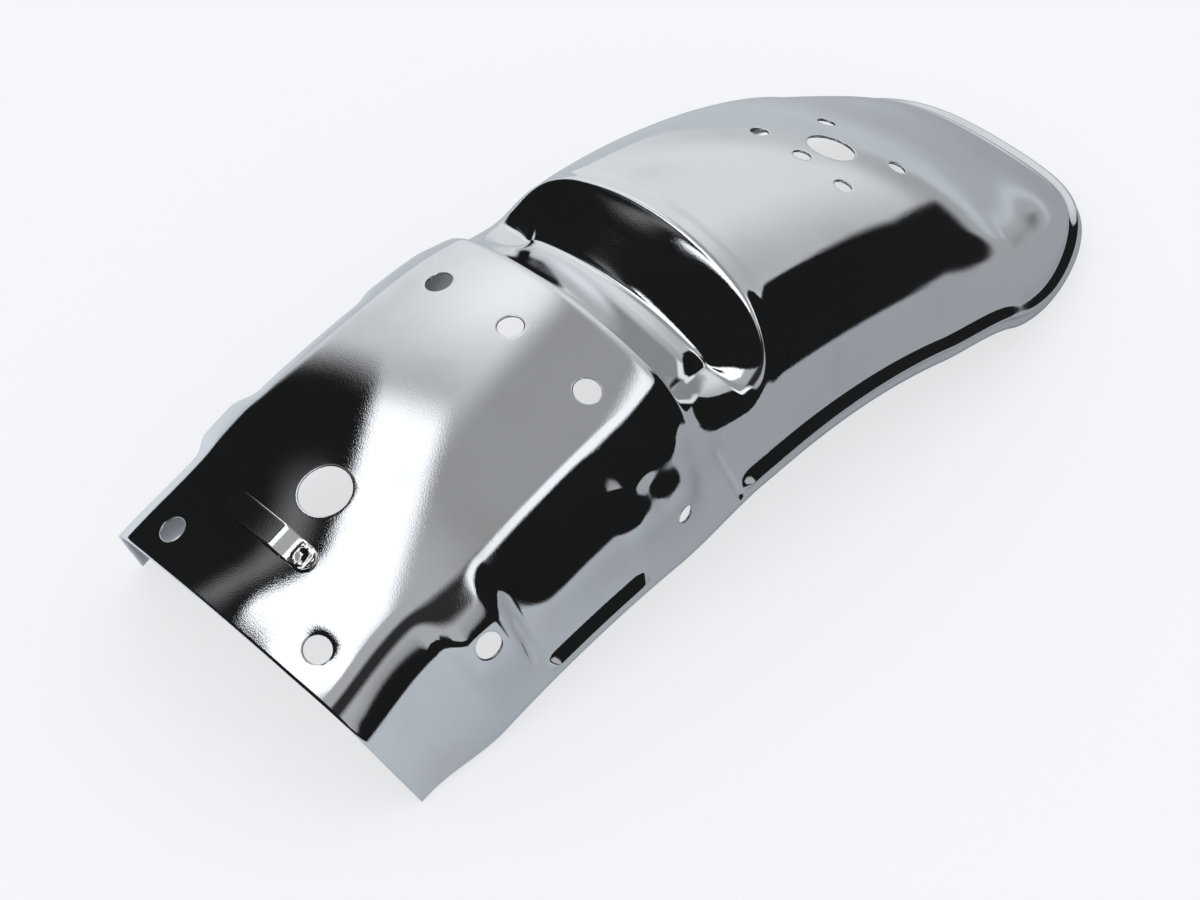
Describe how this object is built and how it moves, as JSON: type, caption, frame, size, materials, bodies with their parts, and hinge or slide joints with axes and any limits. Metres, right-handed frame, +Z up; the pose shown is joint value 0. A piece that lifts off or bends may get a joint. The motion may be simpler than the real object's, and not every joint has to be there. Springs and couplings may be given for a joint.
{
  "type": "motorcycle rear fender",
  "caption": "Pressed chrome rear fender for a small-wheeled motorcycle, with a stepped crown, rolled bead, bolt and lamp holes, a harness clip and a front tab.",
  "frame": {"origin": "centre of the bounding box, on the floor that the front corners and the tail rest on", "axes": "+X from the front end, under the frame, to the round tail; +Z up; +Y to the rider's right"},
  "size_m": [0.4162, 0.1542, 0.0966],
  "materials": {
    "chrome_sheet": "polished chrome, lightly worn",
    "chrome_strip": "chrome, duller and slightly stained"
  },
  "bodies": {
    "root": {"fender_shell": "chrome_sheet", "harness_clip": "chrome_strip", "front_tab": "chrome_strip"}
  },
  "joints": []
}
